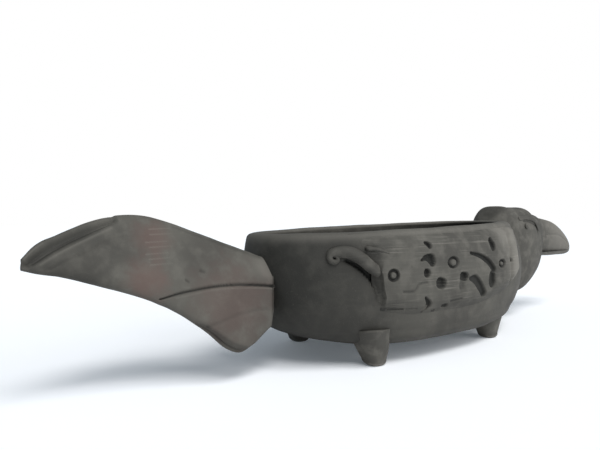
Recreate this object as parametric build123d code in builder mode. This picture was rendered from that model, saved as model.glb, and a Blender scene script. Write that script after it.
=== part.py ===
from build123d import *
import os
from math import copysign, cos, pi, radians, sin, tan

# A bird-shaped incense burner, hand-built in clay: an oval bowl on four stub feet, with a head
# and hooked beak at one end, a broad fan tail at the other and a wing in relief on each side.
# Every lump is formed by itself and luted on with slip in a shallow seat.
# Millimetres, +Z up, +X towards the head, -Y the bird's right side.  The origin is on the
# ground, midway between the tip of the tail and the tip of the beak.

# ------------------------------------------------------------------ driving dimensions
# bowl
rim_half_length = 85.5
rim_half_width = 38.0
rim_height = 60.0
rim_tilt = 2.0  # degrees, the head end is the higher one
ground_clearance = 8.5
wall = 7.5
floor_thickness = 8.0
floor_round = 8.0  # how far the floor stays inside the wall, for a rounded hollow
body_squareness = 2.3  # power of the oval: 2 is an ellipse, more is boxier
seat_depth = 2.5  # how deep each luted lump sits in the bowl's wall

# feet
foot_spacing = 86.0  # rear soles to front soles
foot_track = 53.0  # right soles to left soles
foot_root_rise = 8.0  # how far the root reaches up the bowl, above its underside
sole_radius = 4.9
foot_root_radius = 9.0
foot_shift = -1.3  # middle of the four soles, ahead of the bowl's middle
foot_squareness = 2.6

# tail
tail_length = 89.8  # from the end of the rim to the tip
tail_thickness = 8.0
tail_lean = 22.0  # degrees, the lower edge towards the right side
tail_root_drop = 25.0  # middle of the root, below the rim's height
tail_offset = 6.5  # middle of the blade from the bowl's middle plane, at the root's height

# neck and head
head_length = 49.5  # from the end of the rim to the front of the head
head_base_drop = 26.0  # joint between neck and head, below the rim's height
head_squareness = 3.2
head_tenon_radius = 6.0
head_tenon_height = 5.0
head_tenon_ahead = 25.0  # middle of the tenon, ahead of the end of the rim

# beak
beak_length = 48.5
beak_turn = 3.0  # how far the tip is turned to the right
beak_squareness = 2.6
lip_drop = 18.8  # joint between the upper and the lower beak, below the rim's height
beak_hook = 7.0  # how far the upper beak reaches past the lower one
beak_tenon_radius = 5.0
beak_tenon_length = 3.0

# relief
wing_relief = 2.2
scroll_relief = 3.2
leaf_relief = 1.8
wing_front = 56.0  # the wing's front edge, ahead of the bowl's middle
groove_depth = 1.4  # of the wing's grooves and pressed rings; gouges go through to the wall
stamp_radius = 2.9  # middle of a pressed ring
stamp_width = 1.5
scroll_width = 5.0
curl_radius = 4.0
curl_hole_radius = 1.2
leaf_width = 2.4
brow_relief = 1.6
brow_width = 3.6
eye_relief = 1.2
eye_radius = 2.2

fit = 0.1  # slip left between a tenon and its socket

# ------------------------------------------------------------------ shapes that repeat
middle = (tail_length - head_length - beak_length) / 2  # where the bowl's middle stands on X
tail_end = middle - rim_half_length
head_end = middle + rim_half_length
head_front = head_end + head_length
foot_height = ground_clearance + foot_root_rise
tail_root_height = rim_height - tail_root_drop
head_base = rim_height - head_base_drop
lip_height = rim_height - lip_drop

rim_plane = Plane(
    origin=(middle, 0, rim_height),
    x_dir=(cos(radians(rim_tilt)), 0, sin(radians(rim_tilt))),
    z_dir=(-sin(radians(rim_tilt)), 0, cos(radians(rim_tilt))),
)

# The bowl's outside, from the underside (0) to the rim (1) and a little above it.
# Each row: share of the height, and how far the body stands out past the rim's own oval
# at the tail end, at the head end and at the sides.
body_rows = [
    (0.00, -24.0, -18.0, -10.0),
    (0.05, -14.0, -7.0, -4.2),
    (0.13, -6.5, 1.5, 0.0),
    (0.25, -1.5, 7.0, 2.6),
    (0.42, 1.5, 9.5, 3.6),
    (0.61, 3.0, 9.5, 3.4),
    (0.81, 2.4, 6.0, 2.4),
    (1.00, 0.0, 0.0, 0.0),
    (1.12, -2.5, -5.0, -2.0),
]
floor_row = 2  # the hollow's floor follows this row
wall_row = 4  # from this row up the wall has its full, even thickness

# A foot, from the sole (0) to its root (1).
# Each row: share of the height, and share of the way from the sole's to the root's radius.
foot_rows = [(0.0, -0.35), (0.05, -0.10), (0.18, 0.08), (0.70, 0.74), (1.0, 1.0)]

# Head and neck in one, from the rim's end (0) to the front of the head (1).
# Each row: share of the head's length, underside and top above the rim's height, half width.
head_rows = [
    (-0.07, -30.0, 2.5, 10.0),
    (0.03, -41.0, 7.2, 13.2),
    (0.14, -45.0, 10.9, 15.2),
    (0.27, -44.4, 11.7, 16.2),
    (0.47, -40.5, 11.7, 16.3),
    (0.64, -36.5, 10.4, 15.4),
    (0.76, -33.0, 7.8, 14.3),
    (0.90, -28.0, 6.7, 12.8),
    (1.00, -23.0, 5.4, 11.2),
]

# The beak, from the front of the head (0) to its blunt tip (1).
# Each row: share of the beak's length, underside and top above the rim's height, half width.
beak_rows = [
    (0.00, -22.2, 5.2, 10.4),
    (0.22, -22.3, 4.2, 9.9),
    (0.47, -22.4, 1.8, 8.8),
    (0.70, -22.4, -3.0, 7.2),
    (0.88, -22.2, -8.8, 5.4),
    (1.00, -21.4, -14.4, 3.4),
]

# The tail blade, from the bowl's wall (below 0) to the tip (1).
# Each row: share of the tail's length, lower edge and upper edge above the root's height,
# and share of the full thickness.
tail_rows = [
    (-0.08, -6.0, 5.0, 0.90),
    (-0.017, -8.8, 7.8, 0.95),
    (0.05, -14.0, 12.2, 1.00),
    (0.14, -19.8, 15.8, 1.00),
    (0.206, -21.8, 18.2, 1.00),
    (0.262, -19.9, 20.4, 1.00),
    (0.34, -13.6, 23.3, 1.00),
    (0.43, -7.2, 26.5, 1.00),
    (0.54, -1.5, 29.1, 1.00),
    (0.65, 2.7, 28.7, 1.00),
    (0.77, 6.4, 25.6, 0.92),
    (0.88, 9.5, 21.4, 0.75),
    (0.96, 10.9, 17.5, 0.50),
    (1.00, 11.9, 14.2, 0.28),
]

# Outlines on the right side, seen from the side.  Each point: distance ahead of the bowl's
# middle, and height above the rim's.  The wing's back edge starts above the rim, so that the
# wing runs out through it.
wing_back_edge = [(-45.5, 8.0), (-48.0, -9.5), (-48.8, -19.0), (-48.8, -25.5), (-51.5, -31.0)]
wing_lower_edge = [(-51.5, -31.0), (-43.0, -34.6), (-28.0, -36.7), (3.0, -36.9), (24.0, -34.8),
                   (43.0, -30.4), (wing_front, -23.0)]
scroll_line = [(-69.0, -10.4), (-65.5, -9.2), (-61.5, -10.8), (-58.0, -14.4), (-55.0, -17.6)]
curl_centre = (-69.3, -12.2)
leaf_line = [(-57.5, -8.4), (-53.5, -7.6), (-49.9, -8.6)]

# Marks in the wing, in the same measure.  Each gouge and groove: its points, and its width.
gouges = [
    ([(-25.9, -6.4), (-23.4, -9.1)], 1.8),
    ([(-28.0, -13.6), (-25.0, -13.1), (-21.9, -15.8)], 2.8),
    ([(-26.4, -19.2), (-25.7, -21.4)], 2.4),
    ([(-17.5, -24.2), (-17.0, -27.0)], 4.2),
    ([(-1.8, -23.1), (-0.2, -23.8)], 3.0),
    ([(-26.3, -30.6), (-24.8, -33.6)], 2.0),
]
grooves = [
    ([(4.7, -12.7), (11.8, -14.4), (19.0, -17.4), (23.9, -22.0)], 2.0),
    ([(3.6, -24.3), (7.4, -24.8), (10.4, -28.0), (14.0, -33.0)], 2.0),
    ([(21.8, -24.4), (21.5, -28.2)], 3.2),
    ([(22.7, -7.6), (25.3, -11.6)], 2.2),
]
ring_stamps = [(-43.6, -20.2), (-8.6, -16.3), (32.3, -19.4)]

# The brow and the eye: distance ahead of the end of the rim, and height above the rim's.
brow_line = [(12.5, 4.0), (22.5, 4.2), (33.0, 1.6), (38.0, -4.0)]
eye_centre = (19.5, -1.0)


def oval(centre, half_length, half_width, squareness, count=24):
    """A flat oval face: |x/a|^n + |y/b|^n = 1 about its centre."""
    points = []
    for step in range(count):
        angle = 2 * pi * step / count
        across = copysign(abs(cos(angle)) ** (2 / squareness), cos(angle))
        along = copysign(abs(sin(angle)) ** (2 / squareness), sin(angle))
        points.append((centre[0] + half_length * across, centre[1] + half_width * along))
    with BuildSketch() as face:
        with BuildLine():
            Spline(*points, periodic=True)
        make_face()
    return face.sketch


def body_oval(row, inset):
    """One level of the bowl, moved in from its outside by the inset."""
    tail_reach = rim_half_length + row[1] - inset
    head_reach = rim_half_length + row[2] - inset
    centre = (middle + (head_reach - tail_reach) / 2, 0)
    half_width = rim_half_width + row[3] - inset
    return oval(centre, (tail_reach + head_reach) / 2, half_width, body_squareness)


def body_blank(inset):
    """The bowl's outside as a solid lump, moved in by the inset all over but at the rim."""
    base = ground_clearance + inset
    with BuildPart() as blank:
        for row in body_rows:
            with BuildSketch(Plane.XY.offset(base + row[0] * (rim_height - base))):
                add(body_oval(row, inset))
        loft()
        split(bisect_by=rim_plane, keep=Keep.BOTTOM)
    return blank.part


def side_to_side(rows, start, length, squareness, turn=0.0, grow=0.0):
    """A lump lofted along X through ovals, one for each row; its heights count from the
    rim's, and the turn is towards the right side at the far end."""
    with BuildPart() as lump:
        for share, low, high, half_width in rows:
            centre = (-turn * share, rim_height + (low + high) / 2)
            with BuildSketch(Plane.YZ.offset(start + share * length)):
                add(oval(centre, half_width + grow, (high - low) / 2 + grow, squareness))
        loft()
    return lump.part


body = body_blank(0)
seat = body_blank(seat_depth)

# ------------------------------------------------------------------ feet
feet = {}
for end, along in (("rear", -1), ("front", 1)):
    for side, across in (("right", -1), ("left", 1)):
        name = f"foot_{end}_{side}"
        foot_x = middle + foot_shift + along * foot_spacing / 2
        foot_y = across * foot_track / 2
        with BuildPart() as foot:
            for share, widening in foot_rows:
                radius = sole_radius + widening * (foot_root_radius - sole_radius)
                with BuildSketch(Plane.XY.offset(share * foot_height)):
                    add(oval((foot_x, foot_y), radius, radius, foot_squareness))
            loft()
            add(seat, mode=Mode.SUBTRACT)
        foot.part.label = name
        feet[name] = foot.part

# ------------------------------------------------------------------ tail
with BuildPart() as tail_blade:
    for share, lower, upper, fullness in tail_rows:
        centre_height = (lower + upper) / 2
        half_chord = (upper - lower) / 2 / cos(radians(tail_lean))
        centre_side = -tail_offset + centre_height * tan(radians(tail_lean))
        with BuildSketch(Plane.YZ.offset(tail_end - share * tail_length)):
            with Locations((centre_side, tail_root_height + centre_height)):
                Ellipse(half_chord, fullness * tail_thickness / 2, rotation=90 - tail_lean)
    loft()
    add(seat, mode=Mode.SUBTRACT)
tail_blade.part.label = "tail_blade"

# ------------------------------------------------------------------ neck, head and beak
head_lump = side_to_side(head_rows, head_end, head_length, head_squareness)
beak_lump = side_to_side(beak_rows, head_front, beak_length, beak_squareness, beak_turn)
head_base_plane = Plane.XY.offset(head_base)
head_tenon_place = (head_end + head_tenon_ahead, 0)
beak_root_top = rim_height + beak_rows[0][2]
beak_tenon_place = (0, (lip_height + beak_root_top) / 2)

with BuildPart() as neck:
    add(head_lump)
    split(bisect_by=head_base_plane, keep=Keep.BOTTOM)
    add(seat, mode=Mode.SUBTRACT)
    with BuildSketch(head_base_plane):
        with Locations(head_tenon_place):
            Circle(head_tenon_radius)
    extrude(amount=head_tenon_height)
neck.part.label = "neck"

with BuildPart() as lower_beak:
    add(beak_lump)
    split(bisect_by=Plane.XY.offset(lip_height), keep=Keep.BOTTOM)
    hook_plane = Plane.YZ.offset(head_front + beak_length - beak_hook)
    split(bisect_by=hook_plane, keep=Keep.BOTTOM)
lower_beak.part.label = "lower_beak"

with BuildPart() as upper_beak:
    add(beak_lump)
    add(lower_beak.part, mode=Mode.SUBTRACT)
    with BuildSketch(Plane.YZ.offset(head_front)):
        with Locations(beak_tenon_place):
            Circle(beak_tenon_radius)
    extrude(amount=-beak_tenon_length)
upper_beak.part.label = "upper_beak"

with BuildPart() as head:
    add(head_lump)
    split(bisect_by=head_base_plane, keep=Keep.TOP)
    add(seat, mode=Mode.SUBTRACT)
    with BuildSketch(head_base_plane):
        with Locations(head_tenon_place):
            Circle(head_tenon_radius + fit)
    extrude(amount=head_tenon_height + fit, mode=Mode.SUBTRACT)
    with BuildSketch(Plane.YZ.offset(head_front)):
        with Locations(beak_tenon_place):
            Circle(beak_tenon_radius + fit)
    extrude(amount=-beak_tenon_length - fit, mode=Mode.SUBTRACT)
head.part.label = "head"

# ------------------------------------------------------------------ bowl
with BuildPart() as hollow:
    with BuildSketch(Plane.XY.offset(ground_clearance + floor_thickness)):
        add(body_oval(body_rows[floor_row], wall + floor_round))
    for row in body_rows[wall_row:]:
        level = ground_clearance + row[0] * (rim_height - ground_clearance)
        with BuildSketch(Plane.XY.offset(level)):
            add(body_oval(row, wall))
    loft()

with BuildPart() as bowl_body:
    add(body)
    add(hollow.part, mode=Mode.SUBTRACT)
    for foot_part in feet.values():
        add(foot_part, mode=Mode.SUBTRACT)
    add(tail_blade.part, mode=Mode.SUBTRACT)
    add(neck.part, mode=Mode.SUBTRACT)
    add(head.part, mode=Mode.SUBTRACT)
bowl_body.part.label = "bowl_body"

# ------------------------------------------------------------------ relief, right side
side_plane = Plane.XZ  # seen from the right: X runs along, Z up, the normal points at -Y
side_reach = rim_half_width + rim_half_length  # past anything on that side


def seen_from_the_side(points, start=middle):
    """Points given as a distance ahead of a starting place, and a height above the rim's."""
    return [(start + ahead, rim_height + height) for ahead, height in points]


with BuildPart() as wing_grooves:
    with BuildSketch(side_plane):
        for points, width in grooves:
            with BuildLine():
                Spline(*seen_from_the_side(points))
            trace(line_width=width)
        with Locations(*seen_from_the_side(ring_stamps)):
            Circle(stamp_radius + stamp_width / 2)
            Circle(stamp_radius - stamp_width / 2, mode=Mode.SUBTRACT)
    extrude(amount=side_reach)
    add(body_blank(groove_depth - wing_relief), mode=Mode.SUBTRACT)

with BuildPart() as wing_panel:
    with BuildSketch(side_plane):
        with BuildLine():
            back_edge = Spline(*seen_from_the_side(wing_back_edge))
            lower_edge = Spline(*seen_from_the_side(wing_lower_edge))
            front_edge = Line(lower_edge @ 1, (middle + wing_front, (back_edge @ 0).Y))
            Line(front_edge @ 1, back_edge @ 0)
        make_face()
        for points, width in gouges:
            with BuildLine():
                Spline(*seen_from_the_side(points))
            trace(line_width=width, mode=Mode.SUBTRACT)
    extrude(amount=side_reach)
    add(body_blank(-wing_relief), mode=Mode.INTERSECT)
    add(body, mode=Mode.SUBTRACT)
    add(wing_grooves.part, mode=Mode.SUBTRACT)

scroll_skin = body_blank(-scroll_relief)
with BuildPart() as wing_scroll:
    with BuildSketch(side_plane):
        with BuildLine():
            Spline(*seen_from_the_side(scroll_line))
        trace(line_width=scroll_width)
        with Locations(*seen_from_the_side([curl_centre])):
            Circle(curl_radius)
            Circle(curl_hole_radius, mode=Mode.SUBTRACT)
    extrude(amount=side_reach)
    add(scroll_skin, mode=Mode.INTERSECT)
    add(body, mode=Mode.SUBTRACT)

with BuildPart() as wing_leaf:
    with BuildSketch(side_plane):
        with BuildLine():
            Spline(*seen_from_the_side(leaf_line))
        trace(line_width=leaf_width)
    extrude(amount=side_reach)
    add(body_blank(-leaf_relief), mode=Mode.INTERSECT)
    add(body, mode=Mode.SUBTRACT)

with BuildPart() as brow:
    with BuildSketch(side_plane):
        with BuildLine():
            Spline(*seen_from_the_side(brow_line, head_end))
        trace(line_width=brow_width)
    extrude(amount=side_reach)
    brow_skin = side_to_side(head_rows, head_end, head_length, head_squareness, grow=brow_relief)
    add(brow_skin, mode=Mode.INTERSECT)
    add(head_lump, mode=Mode.SUBTRACT)

with BuildPart() as eye:
    with BuildSketch(side_plane):
        with Locations(*seen_from_the_side([eye_centre], head_end)):
            Circle(eye_radius)
    extrude(amount=side_reach)
    eye_skin = side_to_side(head_rows, head_end, head_length, head_squareness, grow=eye_relief)
    add(eye_skin, mode=Mode.INTERSECT)
    add(head_lump, mode=Mode.SUBTRACT)

# ------------------------------------------------------------------ one file for each piece
os.makedirs("parts", exist_ok=True)
export_step(bowl_body.part, "parts/bowl_body.step")
for name, foot_part in feet.items():
    export_step(foot_part, f"parts/{name}.step")
export_step(tail_blade.part, "parts/tail_blade.step")
export_step(neck.part, "parts/neck.step")
export_step(head.part, "parts/head.step")
export_step(upper_beak.part, "parts/upper_beak.step")
export_step(lower_beak.part, "parts/lower_beak.step")

# what stands on the right side stands on the left side too
for name, right in (("wing_panel", wing_panel), ("wing_scroll", wing_scroll), ("wing_leaf", wing_leaf)):
    right.part.label = f"right_{name}"
    export_step(right.part, f"parts/right_{name}.step")
    with BuildPart() as left:
        mirror(right.part, about=Plane.XZ)
    left.part.label = f"left_{name}"
    export_step(left.part, f"parts/left_{name}.step")
for name, right in (("brow", brow), ("eye", eye)):
    right.part.label = f"right_{name}"
    export_step(right.part, f"parts/right_{name}.step")
    with BuildPart() as left:
        mirror(right.part, about=Plane.XZ)
        add(head_lump, mode=Mode.SUBTRACT)
    left.part.label = f"left_{name}"
    export_step(left.part, f"parts/left_{name}.step")
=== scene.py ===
"""A bird-shaped incense burner, hand-built in clay and smoke-fired: the finish round its frame.

Every piece is a closed surface worked out with numpy from sections close to its solid's.  The
bowl's underside and the marks are fuller than in the solids, inside their common box.
Lengths are metres, written as millimetres times MM.  X runs to the beak, Z up, -Y is the right side.
"""

import math
from itertools import product

import bpy
import numpy as np
from bpy.props import FloatProperty, FloatVectorProperty, PointerProperty
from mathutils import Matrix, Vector


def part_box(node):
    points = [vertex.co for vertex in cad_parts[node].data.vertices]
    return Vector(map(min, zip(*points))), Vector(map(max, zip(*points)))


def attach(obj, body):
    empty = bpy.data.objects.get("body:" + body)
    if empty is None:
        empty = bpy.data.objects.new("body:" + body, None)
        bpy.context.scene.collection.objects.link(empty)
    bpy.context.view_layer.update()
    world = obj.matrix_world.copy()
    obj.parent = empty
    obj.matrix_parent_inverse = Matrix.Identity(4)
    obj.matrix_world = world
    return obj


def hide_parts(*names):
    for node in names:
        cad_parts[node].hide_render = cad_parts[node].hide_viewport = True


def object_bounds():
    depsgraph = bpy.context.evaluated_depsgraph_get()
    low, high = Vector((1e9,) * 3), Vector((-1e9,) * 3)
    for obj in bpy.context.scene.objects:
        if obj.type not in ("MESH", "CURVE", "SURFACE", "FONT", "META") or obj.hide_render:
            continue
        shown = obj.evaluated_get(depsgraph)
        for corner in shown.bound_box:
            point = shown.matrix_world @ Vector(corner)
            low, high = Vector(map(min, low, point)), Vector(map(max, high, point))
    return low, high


bl_info = {
    "name": "Bird incense burner",
    "version": (1, 0, 0),
    "blender": (4, 5, 0),
    "location": "View3D > Sidebar > Incense burner",
    "description": "Builds a hand-formed, smoke-fired bird incense burner on its packed frame",
    "category": "Add Mesh",
}

MM = 0.001
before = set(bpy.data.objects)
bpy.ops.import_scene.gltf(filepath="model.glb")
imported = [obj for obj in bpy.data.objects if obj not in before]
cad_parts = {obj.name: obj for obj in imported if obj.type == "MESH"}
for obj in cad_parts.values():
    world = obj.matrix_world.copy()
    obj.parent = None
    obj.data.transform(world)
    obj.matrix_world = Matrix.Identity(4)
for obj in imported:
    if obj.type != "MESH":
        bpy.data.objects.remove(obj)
LOW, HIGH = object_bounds()


def linear(code):
    """The linear colour of an sRGB hex value."""
    parts = [int(code[at : at + 2], 16) / 255 for at in (0, 2, 4)]
    return [part / 12.92 if part <= 0.04045 else ((part + 0.055) / 1.055) ** 2.4 for part in parts]


# ---------------- sections, close to the solids'
def in_metres(rows):
    """Rows of a share and millimetres, with the millimetres turned to metres."""
    scaled = np.array(rows, float)
    scaled[:, 1:] *= MM
    return scaled


# The bowl, underside (0) to rim (1): reach past the rim's oval at the tail, the head and the sides.
BODY_ROWS = in_metres([
    (0.00, -29.0, -25.0, -2.0), (0.05, -18.0, -13.0, 1.0), (0.13, -8.0, -2.4, 2.2),
    (0.25, -1.8, 4.4, 3.2), (0.42, 1.5, 9.0, 3.6), (0.61, 3.0, 9.5, 3.4),
    (0.81, 2.4, 6.0, 2.4), (1.00, 0.0, 0.0, 0.0), (1.12, -2.5, -5.0, -2.0),
])
FLOOR_ROW, WALL_ROW = 2, 4

# Power of the bowl's oval, and what is added to it at the underside, fading out at that level.
BOWL_POWER, SQUARER_BELOW, SQUARER_UP_TO = 2.3, 0.4, 0.15
UNDERSIDE_RINGS, OUTSIDE_RINGS = 16, 96

# Head and neck, rim's end (0) to the front (1): underside and top above the rim, half width.
HEAD_POWER = 3.2
HEAD_ROWS = in_metres([
    (-0.07, -30.0, 2.5, 10.0), (0.03, -41.0, 8.2, 13.2), (0.12, -45.0, 11.6, 15.2),
    (0.27, -44.6, 11.35, 16.2), (0.47, -43.6, 11.42, 16.3), (0.64, -40.2, 11.2, 15.4),
    (0.76, -37.0, 8.3, 14.3), (0.90, -31.2, 7.0, 12.8), (1.00, -24.0, 5.6, 11.2),
])

# The beak, root (0) to tip (1), in the same columns.
BEAK_POWER = 2.6
BEAK_ROWS = in_metres([
    (0.00, -22.2, 5.2, 10.4), (0.22, -22.3, 4.2, 9.9), (0.47, -22.4, 1.8, 8.8),
    (0.70, -22.4, -3.0, 7.2), (0.88, -22.2, -8.8, 5.4), (1.00, -21.4, -14.4, 3.4),
])

# The tail blade, root (0) to tip (1): lower and upper edge above the root, half thickness.
TAIL_ROWS = in_metres([
    (-0.08, -9.5, 6.5, 3.6), (-0.017, -12.0, 10.6, 3.8), (0.05, -15.6, 13.6, 4.0),
    (0.14, -21.0, 16.9, 4.0), (0.206, -22.9, 19.2, 4.0), (0.262, -20.9, 21.2, 4.0),
    (0.34, -14.2, 23.9, 4.0), (0.43, -7.7, 26.8, 4.0), (0.54, -2.0, 29.3, 4.0),
    (0.65, 2.2, 29.3, 4.0), (0.77, 5.9, 26.8, 3.7), (0.88, 9.0, 22.8, 3.0),
    (0.96, 10.4, 18.9, 2.2), (1.00, 11.5, 15.2, 1.4),
])

# A foot, sole (0) to root (1): share of the way from the sole's to the root's radius.
FOOT_ROWS = np.array([(0.0, -0.35), (0.05, -0.10), (0.18, 0.08), (0.70, 0.74), (1.0, 1.0)])
FOOT_POWER = 2.6


# ---------------- sizes and colours
def length(name, description, millimetres):
    """A length that a user may change."""
    return FloatProperty(
        name=name, description=description, default=millimetres * MM, unit="LENGTH", precision=4
    )


def colour(name, description, code):
    """A colour that a user may change, given as an sRGB hex value."""
    return FloatVectorProperty(
        name=name, description=description, default=linear(code), size=3, subtype="COLOR",
        min=0, max=1,
    )


class BurnerSizes(bpy.types.PropertyGroup):
    """Sizes of the clay body"""

    rim_half_length: length("Rim half length", "From the bowl's middle to the rim's ends", 85.5)
    rim_half_width: length("Rim half width", "From the bowl's middle to the rim's sides", 38)
    rim_height: length("Rim height", "Of the rim above the ground, at the bowl's middle", 60)
    rim_tilt: FloatProperty(
        name="Rim tilt", description="How much the rim rises towards the head",
        default=math.radians(2), subtype="ANGLE",
    )
    rim_round: length("Rim rounding", "How far down the lip of the rim is rounded", 2.2)
    wall: length("Wall", "Thickness of the bowl's wall", 7.5)
    floor: length("Floor", "Thickness of the bowl's floor", 8)
    floor_round: length("Floor rounding", "How far the floor stays inside the wall", 8)
    tail_length: length("Tail length", "From the end of the rim to the tip of the tail", 89.8)
    tail_offset: length("Tail offset", "From the middle plane to the tail's root", 6.5)
    tail_curl: length("Tail curl", "How far the tail's root is bent round the bowl's end", 4)
    tail_root: length("Tail root height", "Middle of the tail's root above the ground", 35)
    tail_lean: FloatProperty(
        name="Tail lean", description="Turn of the blade, lower edge towards the right side",
        default=math.radians(22), subtype="ANGLE",
    )
    head_length: length("Head length", "From the end of the rim to the front of the head", 49.5)
    beak_length: length("Beak length", "From the front of the head to the tip of the beak", 48.5)
    beak_turn: length("Beak turn", "How far the tip of the beak is turned to the right", 3)
    lip_height: length("Lip height", "Of the joint between the beak's halves", 41.2)
    beak_hook: length("Beak hook", "How far the upper beak reaches past the lower one", 7)
    sole_radius: length("Sole radius", "Of each foot where it stands", 4.9)
    root_radius: length("Root radius", "Of each foot where it meets the bowl", 9)
    foot_flare: length("Foot flare", "How far a foot leans out towards the tail, sole to root", 4)
    wing_relief: length("Wing relief", "How far the wing stands out of the bowl", 2.2)


class BurnerClay(bpy.types.PropertyGroup):
    """Colours of the smoke-fired clay"""

    # This colour also paints shade: in deep marks, grooves and hollows, inside the bowl and on its
    # tail end.
    soot_and_shade: colour("Soot", "Where the smoke was thickest, and in deep marks", "21211E")
    dark: colour("Dark clay", "Smoked grey-black ground", "45433E")
    mid: colour("Clay", "Smoked grey ground", "53514B")
    # This colour also paints highlights: on the lip, the wing's front strip and the tail's ridges.
    light: colour("Light clay", "Worn edges and pale, less smoked clay", "86827A")
    flash: colour("Flash", "Reddish flash where air reached the clay", "634C46")


class BurnerStage(bpy.types.PropertyGroup):
    """Light and floor"""

    key: FloatProperty(name="Key", description="Strength of the light from above", default=2.25)
    side: FloatProperty(name="Side", description="Strength of the light from the right", default=1.2)
    fill: FloatProperty(name="Fill", description="Level of the light from all round", default=0.3)
    floor: colour("Floor", "Plain white table", "F9FAFC")


# ---------------- numpy surfaces
def along_rows(rows, share):
    """The columns of rows at each share: between neighbouring rows a cubic that meets both with
    the slope of their central differences."""
    knots, columns = rows[:, 0], rows[:, 1:]
    slopes = np.gradient(columns, knots, axis=0)
    share = np.clip(share, knots[0], knots[-1])
    at = np.clip(np.searchsorted(knots, share, side="right") - 1, 0, len(knots) - 2)
    step = knots[at + 1] - knots[at]
    t = (share - knots[at]) / step
    weights = (
        (1 + 2 * t) * (1 - t) ** 2,
        t**2 * (3 - 2 * t),
        t * (1 - t) ** 2 * step,
        t**2 * (t - 1) * step,
    )
    parts = (columns[at], columns[at + 1], slopes[at], slopes[at + 1])
    total = sum(weight[..., None] * part for weight, part in zip(weights, parts))
    return np.moveaxis(total, -1, 0)


def oval(turn, power):
    """The unit oval |x|^n + |y|^n = 1: (cos t, sin t) over (|cos t|^n + |sin t|^n)^(1/n)."""
    across, up = np.cos(turn), np.sin(turn)
    reach = (np.abs(across) ** power + np.abs(up) ** power) ** (1 / power)
    return across / reach, up / reach


def turns(count):
    """Evenly spaced turns round a closed ring, as one row."""
    return np.linspace(0, 2 * np.pi, count, endpoint=False)[None, :]


def step_up(value, start, end):
    """0 before start, 1 after end, and 3t^2 - 2t^3 between them."""
    t = np.clip((value - start) / (end - start), 0, 1)
    return t * t * (3 - 2 * t)


def lumps(points, size, seed=0):
    """Smooth unevenness from 0 to 1: a number for each corner of a lattice of that size, the
    fractional part of a large sine, blended along each axis by 3t^2 - 2t^3."""
    cell = points / size
    low = np.floor(cell)
    t = cell - low
    t = t * t * (3 - 2 * t)
    total = np.zeros(points.shape[:-1])
    for corner in product((0, 1), repeat=3):
        at = low + corner
        mixed = np.sin(at @ np.array((127.1, 311.7, 74.7)) + 53.3 * seed) * 43758.5453
        weight = np.prod(np.where(corner, t, 1 - t), axis=-1)
        total += weight * (mixed - np.floor(mixed))
    return total


def smooth_line(points, count):
    """A line through the points, cubic between them: count points, evenly spaced by number."""
    rows = np.column_stack([np.arange(len(points)), np.array(points, float)])
    return along_rows(rows, np.linspace(0, len(points) - 1, count)).T


def stroke(x, z, points, widths, edge=0.7):
    """How deep a tool's stroke is at (x, z), from 0 to 1: 1 inside the stroke's width and falling
    to 0 over the edge.  The line through the points is cut into short straight runs, and the gap
    is the least distance to a run, less half the width there.  Points, widths (from its start to
    its end) and edge are millimetres."""
    line = smooth_line(points, 24)
    half = np.interp(np.linspace(0, 1, len(line)), np.linspace(0, 1, len(widths)), widths) / 2
    gap = np.full(x.shape, 1e3)
    for start, end, wide, next_wide in zip(line, line[1:], half, half[1:]):
        run = end - start
        from_x, from_z = x / MM - start[0], z / MM - start[1]
        share = np.clip((from_x * run[0] + from_z * run[1]) / (run @ run), 0, 1)
        apart = np.hypot(from_x - share * run[0], from_z - share * run[1])
        gap = np.minimum(gap, apart - wide - share * (next_wide - wide))
    return step_up(-gap, -edge / 2, edge / 2)


def outward(rings):
    """Unit normals of closed rings, turned to the side where the enclosed volume is positive."""
    round_ring = np.roll(rings, -1, axis=1) - np.roll(rings, 1, axis=1)
    normal = np.cross(round_ring, np.gradient(rings, axis=0))
    if np.sum((rings - rings.mean((0, 1))) * normal) < 0:
        normal = -normal
    return normal / np.maximum(np.linalg.norm(normal, axis=-1, keepdims=True), 1e-12)


def push(rings, depth):
    """Rings moved inwards along their normals by the depth at each point."""
    return rings - outward(rings) * depth[..., None]


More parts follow.
